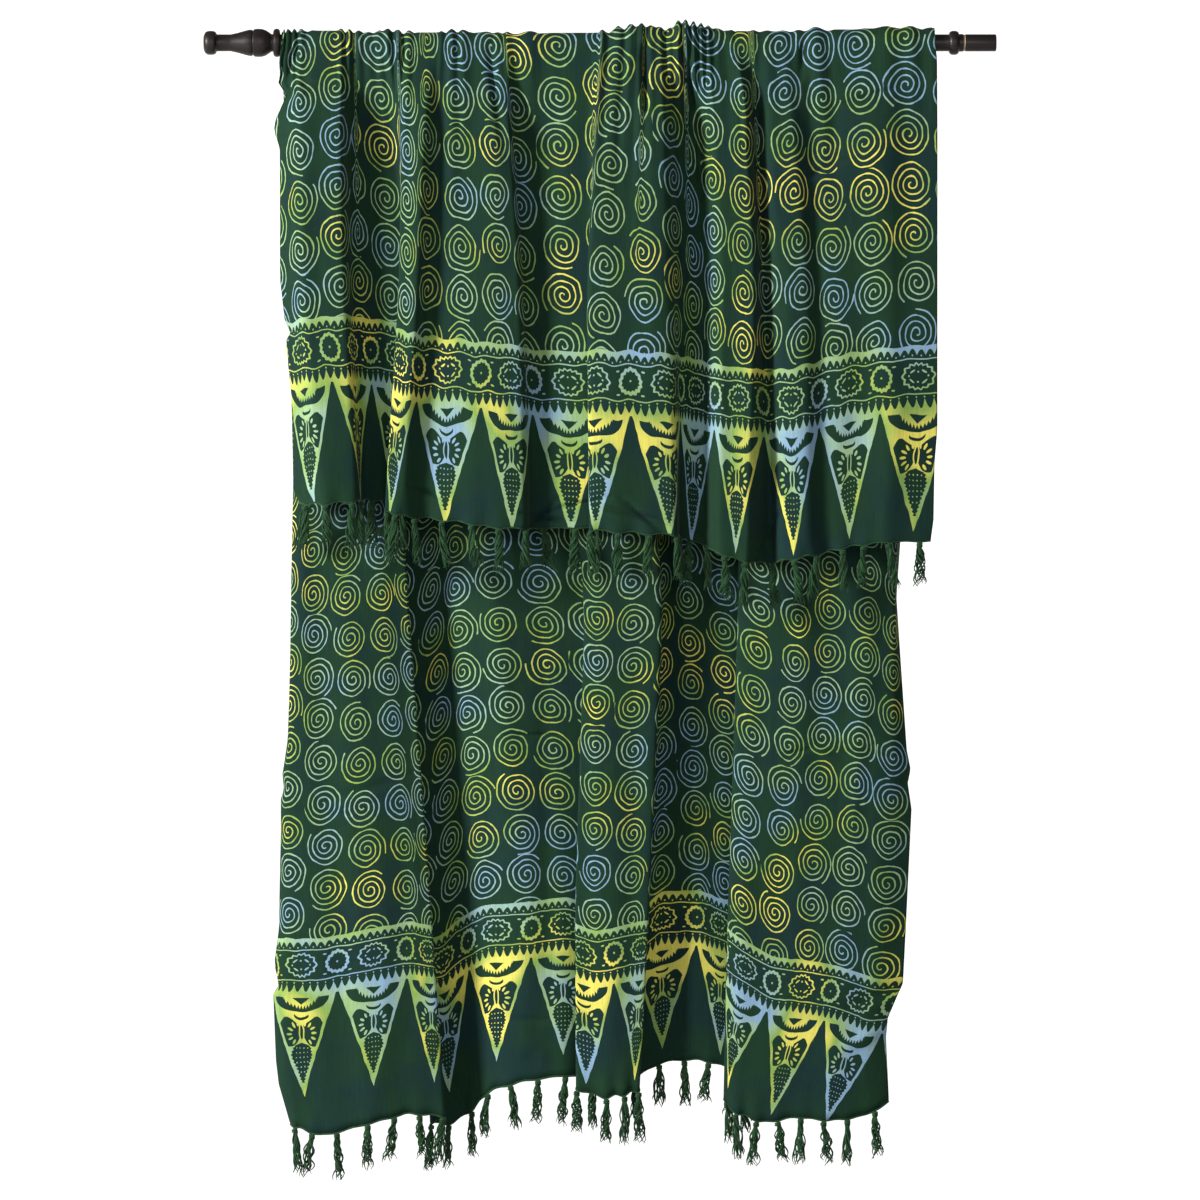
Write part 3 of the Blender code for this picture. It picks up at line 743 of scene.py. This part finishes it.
def pleat_relief(along, level):
    """Height of the fine pleats that the bunching on the rod sends down the cloth."""
    relief = np.zeros_like(along)
    for number, pleats in enumerate(ROD_PLEATS):
        window = smooth_share((along - pleats.start) / 12) * smooth_share((pleats.end - along) / 12)
        bend = 3.0 * np.sin(along / 41.0 + number)
        wave = np.sin(2 * np.pi * (along + bend) / pleats.length + 1.7 * number)
        uneven = 0.65 + 0.35 * np.sin(along / 23.0 + 2.1 * number)
        relief += pleats.height * window * wave * uneven * np.exp(-((level / pleats.reach) ** 2))
    return relief


def panel_relief(along, level, seed):
    """Slight long undulations of a limp cloth, uneven in width and length."""
    relief = 1.3 * np.sin(along / 17.3 + level / 210.0 + seed)
    relief += 0.9 * np.sin(along / 9.7 - level / 330.0 + 2.3 * seed)
    relief *= 0.6 + 0.4 * np.sin(level / 95.0 + along / 60.0 + seed)
    return relief * smooth_share(level / 90.0)


def hem_wave(along, seed):
    """Pull of the tassels' knots on the hem, uneven from knot to knot: 1 at a strong knot."""
    turns = 2 * np.pi * (along - TASSEL_MARGIN) / TASSEL_PITCH
    return np.cos(turns) * (0.65 + 0.35 * np.sin(along / 47.0 + seed))


def edge_shift(edge, level, silhouette):
    """How far a side's silhouette lies from the outline that it should follow."""
    levels = [point.level for point in edge]
    places = [point.place for point in edge]
    return np.interp(level, levels, places) - silhouette


# A fall's tables, its side of the rod, and the place along the cloth that makes its left outline
Fall = namedtuple("Fall", "table middles left right creases side left_column seed")
FRONT_FALL = Fall(
    FRONT_FOLDS, (("middle", FRONT_MIDDLE_LEVEL),), FRONT_LEFT_EDGE, FRONT_RIGHT_EDGE,
    FRONT_CREASES, side=-1.0, left_column=26.0, seed=0.4,
)
BACK_FALL = Fall(
    BACK_FOLDS, (("upper", BACK_UPPER_LEVEL), ("lower", BACK_LOWER_LEVEL)), BACK_LEFT_EDGE,
    BACK_RIGHT_EDGE, BACK_CREASES, side=1.0, left_column=12.0, seed=2.1,
)


def fall_row(fall, along, share):
    """One row of a fall's points: share is 0 on the rod's level and 1 at the hem."""
    pull = hem_wave(along, fall.seed)
    drop = fold_values(fall.table, "drop", along) + HEM_PULL * pull
    level = share * drop
    levels = [np.zeros_like(along)]
    places = [fold_values(GATHERS, "place", along)]
    for column, height in fall.middles:
        levels.append(np.full_like(along, height))
        places.append(fold_values(fall.table, column, along))
    levels.append(drop)
    places.append(fold_values(fall.table, "hem", along))
    place = down_values(levels, places, level)
    on_rod = CLOTH_ON_ROD + fold_values(GATHERS, "lift", along)
    hanging = FALL_CLEARANCE + fold_values(fall.table, "depth", along)
    opened = smooth_share(level / OPENS_OVER)
    depth = on_rod + (hanging - on_rod) * opened + pleat_relief(along, level)
    left = edge_shift(fall.left, level, np.interp(fall.left_column, along, place))
    right = edge_shift(fall.right, level, place[-1])
    settle = smooth_share(level / EDGE_SETTLES_OVER)
    place = place + settle * left * np.exp(-np.maximum(along - fall.left_column, 0) / EDGE_REACH)
    place = place + settle * right * np.exp(-(CLOTH_WIDTH - along) / EDGE_REACH)
    relief = crease_relief(fall.creases, place, level) + panel_relief(along, level, fall.seed)
    relief += HEM_PULL * pull * np.exp(-(drop - level) / HEM_REACH)
    depth = depth - fall.side * relief
    depth = np.maximum(depth, FALL_CLEARANCE * 0.75)
    return np.stack([place, fall.side * depth, -level], axis=1), level, drop


def turn_row(along, turn):
    """One row of points over the rod: turn is 0 at the front and 1 at the back."""
    radius = CLOTH_ON_ROD + fold_values(GATHERS, "lift", along)
    radius = radius + pleat_relief(along, np.zeros_like(along)) + 0.2
    angle = math.pi * turn
    place = fold_values(GATHERS, "place", along)
    rows = [place, -radius * math.cos(angle), radius * math.sin(angle)]
    return np.stack(rows, axis=1), radius


def tip_lean(along, height):
    """Sideways pull of the print where the back fall's right corner hangs askew."""
    share = np.clip(-height / BORDER_TO_TIP, 0.0, 1.2)
    return TIP_LEAN * share**1.5 * smooth_share((along - TIP_LEAN_FROM) / 30)


def shown_at_rod(along):
    """Place in the print at each station on the rod, where the folds hide part of the cloth."""
    place = fold_values(GATHERS, "place", along)
    return np.interp(place, [s.place for s in SHOWN_AT_ROD], [s.along for s in SHOWN_AT_ROD])


def fold_drift(along, level):
    """How far the print has slid round the middle fold of the back fall, most near the rod."""
    reach = np.interp(along, DRIFT_PLACES, DRIFTS)
    fade = smooth_share((level - BACK_UPPER_LEVEL) / (BACK_LOWER_LEVEL - BACK_UPPER_LEVEL))
    return reach * (1.0 - fade)


def front_rows(along):
    """Points and print places of the front fall and the turn over the rod, hem first."""
    border = fold_values(FRONT_FOLDS, "border", along)
    hidden = shown_at_rod(along) - along
    rows = []
    for share in down_shares(FRONT_FALL, FRONT_ROWS)[:0:-1]:
        points, level, drop = fall_row(FRONT_FALL, along, share)
        height = (drop - level - border) / FRONT_PRINT_STRETCH
        near_rod = np.clip(1.0 - level / FRONT_MIDDLE_LEVEL, 0.0, 1.0)
        rows.append((points, along + hidden * near_rod, height))
    drop = fold_values(FRONT_FOLDS, "drop", along)
    for turn in np.linspace(0.0, 1.0, TURN_ROWS + 1):
        points, radius = turn_row(along, turn)
        arc = radius * math.pi * turn
        rows.append((points, along + hidden, (drop - border + arc) / FRONT_PRINT_STRETCH))
    return rows


def back_rows(along):
    """Points and print places of the back fall, from the rod down to the hem."""
    border = fold_values(BACK_FOLDS, "border", along)
    drop = fold_values(BACK_FOLDS, "drop", along)
    radius = CLOTH_ON_ROD + fold_values(GATHERS, "lift", along)
    front_height = fold_values(FRONT_FOLDS, "drop", along)
    front_height = front_height - fold_values(FRONT_FOLDS, "border", along)
    seam = (front_height + math.pi * radius) / FRONT_PRINT_STRETCH
    slack = FIELD_LENGTH - seam - (drop - border)
    rows = []
    for share in down_shares(BACK_FALL, BACK_ROWS):
        points, level, _ = fall_row(BACK_FALL, along, share)
        height = drop - level - border
        hidden = 1.0 - np.clip(level / HIDDEN_BACK_LEVEL, 0.0, 1.0)
        height = height + slack * hidden
        across = along + tip_lean(along, height) + fold_drift(along, level)
        across += hidden * (shown_at_rod(along) - along)
        rows.append((points, across, FIELD_LENGTH - height))
    return rows


def add_object(name, data):
    """Object of a mesh, curve, light or camera, linked to the scene."""
    item = bpy.data.objects.new(name, data)
    bpy.context.scene.collection.objects.link(item)
    return item


def finish_piece(name, bm, material):
    """Smooth object with one material, from a finished bmesh."""
    mesh = bpy.data.meshes.new(name)
    bm.to_mesh(mesh)
    bm.free()
    mesh.materials.append(material)
    mesh.shade_smooth()
    return add_object(name, mesh)


def sheet_object(name, rows, material, thickness):
    """Cloth sheet from rows of points, with the print's chart as its UV map and its thickness."""
    row_count, column_count = len(rows), len(rows[0][0])
    bm = bmesh.new()
    bmesh.ops.create_grid(bm, x_segments=column_count - 1, y_segments=row_count - 1, size=1.0)
    chart = bm.loops.layers.uv.new("print")
    print_places = {}
    for vertex in bm.verts:
        column = round((vertex.co.x + 1) / 2 * (column_count - 1))
        row = round((vertex.co.y + 1) / 2 * (row_count - 1))
        points, across, height = rows[row]
        vertex.co = Vector(points[column]) * MM
        print_places[vertex] = (across[column] * MM, height[column] * MM)
    for face in bm.faces:
        for loop in face.loops:
            loop[chart].uv = print_places[loop.vert]
    piece = finish_piece(name, bm, material)
    wall = piece.modifiers.new("thickness", "SOLIDIFY")
    wall.thickness = thickness
    wall.offset = 0.0
    return piece


def curve_piece(name, strands, material):
    """One mesh from many round strands: each is a list of points with a radius."""
    curve = bpy.data.curves.new(name, "CURVE")
    curve.dimensions = "3D"
    curve.bevel_depth = 1.0
    curve.bevel_resolution = 0
    curve.use_fill_caps = True
    for strand in strands:
        spline = curve.splines.new("POLY")
        spline.points.add(len(strand) - 1)
        for point, (place, radius) in zip(spline.points, strand):
            point.co = (*place, 1.0)
            point.radius = radius
    holder = add_object(name + "_curve", curve)
    graph = bpy.context.evaluated_depsgraph_get()
    mesh = bpy.data.meshes.new_from_object(holder.evaluated_get(graph))
    bpy.data.objects.remove(holder, do_unlink=True)
    bpy.data.curves.remove(curve)
    bm = bmesh.new()
    bm.from_mesh(mesh)
    bmesh.ops.remove_doubles(bm, verts=bm.verts[:], dist=0.000001)
    bmesh.ops.recalc_face_normals(bm, faces=bm.faces[:])
    bpy.data.meshes.remove(mesh)
    return finish_piece(name, bm, material)


def knot_strand(root, direction, outward, yarn):
    """Yarn wound twice round the top of a tassel."""
    points = []
    for step in range(KNOT_STEPS + 1):
        angle = 4 * math.pi * step / KNOT_STEPS
        place = root + direction * (KNOT_RADIUS * math.cos(angle))
        place += outward * (KNOT_RADIUS * math.sin(angle))
        place.z -= KNOT_TOP + KNOT_HEIGHT * step / KNOT_STEPS
        points.append((place, yarn))
    return points


def tassel_strands(root, direction, outward, settings, chance):
    """Knot and yarns of one tassel: bound at the top, loosely twisted and frayed at the tip."""
    strands = [knot_strand(root, direction, outward, settings.yarn_radius * KNOT_YARN)]
    length = settings.length * chance.uniform(0.84, 1.04)
    lean = chance.uniform(-0.15, 0.15)
    lean_out = chance.uniform(-0.04, 0.04)
    twist = chance.choice((-1, 1)) * chance.uniform(0.5, 1.3)
    widest = chance.uniform(0.0048, 0.0066)
    for yarn in range(settings.yarns):
        start = 2 * math.pi * yarn / settings.yarns
        own = chance.uniform(0.25, 1.0)
        reach = length * chance.uniform(0.82, 1.04)
        flare = chance.uniform(0.3, 1.5)
        kink = chance.uniform(0.0, 6.28)
        points = []
        for step in range(YARN_STEPS + 1):
            share = step / YARN_STEPS
            drop = YARN_TOP + share * reach
            loose = smooth_share((share - 0.08) / 0.35)
            bound = BOUND_RADIUS + (widest - BOUND_RADIUS) * loose
            spread = bound * own + FRAY * flare * max(share - 0.7, 0.0)
            angle = start + twist * 2 * math.pi * share
            wave = WAVINESS * math.sin(kink + 11 * share) * share
            place = root + direction * (spread * math.cos(angle) + lean * drop + wave)
            place += outward * (spread * 0.75 * math.sin(angle) + lean_out * drop)
            place.z -= drop
            taper = 1.0 if share < 0.8 else 1.0 - 0.6 * (share - 0.8) / 0.2
            points.append((place, settings.yarn_radius * taper))
        strands.append(points)
    return strands


def fringe_strands(fall, settings, seed):
    """Rolled edge and tassels of one hem."""
    chance = random.Random(seed)
    along = cloth_stations(HEM_STATIONS)
    hem = fall_row(fall, along, 1.0)[0] * MM
    strands = [[(Vector(point) - Vector((0, 0, EDGE_DROP)), EDGE_RADIUS) for point in hem]]
    pitch = (CLOTH_WIDTH - 2 * TASSEL_MARGIN) / (settings.count - 1)
    for number in range(settings.count):
        place = TASSEL_MARGIN + pitch * number + chance.uniform(-2.0, 2.0)
        before, root, after = (
            Vector([np.interp(at, along, hem[:, axis]) for axis in range(3)])
            for at in (place - 4, place, place + 4)
        )
        direction = after - before
        direction.z = 0.0
        direction.normalize()
        outward = Vector((direction.y, -direction.x, 0.0))
        strands.extend(tassel_strands(root, direction, outward, settings, chance))
    return strands


def make_rod(name, sides, material):
    """The turned rod: its outline spun round the X axis."""
    bm = bmesh.new()
    vertices = [bm.verts.new((t.place * MM, 0.0, t.radius * MM)) for t in ROD_OUTLINE]
    edges = [bm.edges.new(pair) for pair in zip(vertices, vertices[1:])]
    bmesh.ops.spin(
        bm, geom=vertices + edges, cent=(0, 0, 0), axis=(1, 0, 0), angle=2 * math.pi,
        steps=sides, use_merge=True,
    )
    bmesh.ops.remove_doubles(bm, verts=bm.verts[:], dist=0.000005)
    bmesh.ops.recalc_face_normals(bm, faces=bm.faces[:])
    piece = finish_piece(name, bm, material)
    piece.data.set_sharp_from_angle(angle=math.radians(SHARP_ANGLE))
    return piece


def hang_fall(context, side, rows, fall, seed):
    """Sheet and fringe of one fall, attached to their body."""
    cloth, tassels = context.scene.sarong_cloth, context.scene.sarong_tassels
    rayon = bpy.data.materials.get("batik_rayon") or cloth_material(cloth)
    yarn = bpy.data.materials.get("twisted_rayon_yarn") or yarn_material(tassels)
    sheet = sheet_object(side + "_sheet", rows, rayon, cloth.thickness)
    fringe = curve_piece(side + "_tassels", fringe_strands(fall, tassels, seed), yarn)
    for piece, slot in ((sheet, "cloth"), (fringe, "fringe")):
        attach(piece, "root")
    return sheet, fringe


class SARONG_OT_front(Operator):
    """Front fall and the turn over the rod, with the front fringe"""

    bl_idname = "sarong.front"
    bl_label = "Front Fall"

    def execute(self, context):
        rows = front_rows(cloth_stations(FRONT_STATIONS, FRONT_SHARP))
        sheet, fringe = hang_fall(context, "front", rows, FRONT_FALL, FRONT_FRINGE_SEED)
        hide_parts("cloth_front", "cloth_over_rod")
        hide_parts("fringe_front")
        return {"FINISHED"}


class SARONG_OT_back(Operator):
    """Back fall with its fringe"""

    bl_idname = "sarong.back"
    bl_label = "Back Fall"

    def execute(self, context):
        rows = back_rows(cloth_stations(BACK_STATIONS))
        sheet, fringe = hang_fall(context, "back", rows, BACK_FALL, BACK_FRINGE_SEED)
        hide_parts("cloth_back")
        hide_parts("fringe_back")
        return {"FINISHED"}


class SARONG_OT_rod(Operator):
    """Turned rod in dark stained wood"""

    bl_idname = "sarong.rod"
    bl_label = "Rod"

    def execute(self, context):
        settings = context.scene.sarong_rod
        piece = make_rod("turned_rod", settings.sides, wood_material(settings))
        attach(piece, "root")
        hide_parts("rod")
        return {"FINISHED"}


def add_area_light(name, place, target, size, power):
    """Soft square light that looks at a point."""
    light = bpy.data.lights.new(name, "AREA")
    light.shape = "SQUARE"
    light.size = size
    light.energy = power
    lamp = add_object(name, light)
    lamp.location = place
    lamp.rotation_euler = (Vector(target) - Vector(place)).to_track_quat("-Z", "Y").to_euler()


class SARONG_OT_stage(Operator):
    """Plain pale backdrop, soft light and the camera"""

    bl_idname = "sarong.stage"
    bl_label = "Stage"

    def execute(self, context):
        settings = context.scene.sarong_stage
        self.make_backdrop(settings)
        add_area_light("key", KEY_PLACE, MIDDLE, KEY_SIZE, settings.key_power)
        add_area_light("fill", FILL_PLACE, MIDDLE, FILL_SIZE, settings.fill_power)
        world = bpy.data.worlds.new("studio")
        world.use_nodes = True
        background = world.node_tree.nodes["Background"]
        background.inputs["Color"].default_value = (1.0, 1.0, 1.0, 1.0)
        background.inputs["Strength"].default_value = WORLD_STRENGTH
        context.scene.world = world
        self.make_camera(settings)
        context.scene.view_settings.view_transform = "Standard"
        return {"FINISHED"}

    def make_backdrop(self, settings):
        """Floor that curves up into a wall behind the sarong and glows from there on."""
        front, wall, floor, top, bend, half = -9.0, 9.5, -1.55, 5.0, 1.5, 12.0
        turn = [math.pi / 2 * step / 12 for step in range(13)]
        curve = [(wall - bend + bend * math.sin(a), floor + bend - bend * math.cos(a)) for a in turn]
        profile = [(front, floor), *curve, (wall, top)]
        bm = bmesh.new()
        vertices = [bm.verts.new((-half, y, z)) for y, z in profile]
        edges = [bm.edges.new(pair) for pair in zip(vertices, vertices[1:])]
        swept = bmesh.ops.extrude_edge_only(bm, edges=edges)["geom"]
        moved = [item for item in swept if isinstance(item, bmesh.types.BMVert)]
        bmesh.ops.translate(bm, verts=moved, vec=(2 * half, 0, 0))
        bmesh.ops.recalc_face_normals(bm, faces=bm.faces[:])
        material, tree, shader = new_material("matte_paper", 0.95, 0.0, 0.2)
        shader.inputs["Base Color"].default_value = srgb(PAPER_GREY)
        shader.inputs["Emission Color"].default_value = settings.backdrop
        away = add_node(tree, "SeparateXYZ", add_node(tree, "TexCoord", output=3), output=1)
        glow = add_node(tree, "MapRange", away, *GLOW_BEHIND, *GLOW_STRENGTH)
        tree.links.new(glow, shader.inputs["Emission Strength"])
        finish_piece("backdrop", bm, material)

    def make_camera(self, settings):
        """Long lens straight on, with a set width in view at the rod."""
        data = bpy.data.cameras.new("camera")
        data.sensor_width = SENSOR_WIDTH
        data.lens = SENSOR_WIDTH * settings.camera_distance / WIDTH_IN_VIEW
        data.clip_end = 50.0
        camera = add_object("camera", data)
        camera.location = (MIDDLE[0], -settings.camera_distance, MIDDLE[2])
        camera.rotation_euler = (math.pi / 2, 0.0, 0.0)
        bpy.context.scene.camera = camera


class SARONG_PT_panel(Panel):
    """Sarong's pieces and their settings"""

    bl_label = "Sarong"
    bl_idname = "SARONG_PT_panel"
    bl_space_type = "VIEW_3D"
    bl_region_type = "UI"
    bl_category = "Sarong"

    def draw(self, context):
        for operator in OPERATORS:
            self.layout.operator(operator.bl_idname)
        for name, group in SETTINGS.items():
            box = self.layout.box()
            for prop in group.__annotations__:
                box.prop(getattr(context.scene, name), prop)


OPERATORS = (SARONG_OT_rod, SARONG_OT_front, SARONG_OT_back, SARONG_OT_stage)
SETTINGS = {
    "sarong_cloth": SarongCloth,
    "sarong_tassels": SarongTassels,
    "sarong_rod": SarongRod,
    "sarong_stage": SarongStage,
}
CLASSES = (*SETTINGS.values(), *OPERATORS, SARONG_PT_panel)


def register():
    for item in CLASSES:
        bpy.utils.register_class(item)
    for name, group in SETTINGS.items():
        setattr(bpy.types.Scene, name, PointerProperty(type=group))


def unregister():
    for name in SETTINGS:
        delattr(bpy.types.Scene, name)
    for item in reversed(CLASSES):
        bpy.utils.unregister_class(item)


def main():
    register()
    bpy.ops.sarong.rod()
    bpy.ops.sarong.front()
    bpy.ops.sarong.back()
    bpy.ops.sarong.stage()


if __name__ == "__main__":
    main()
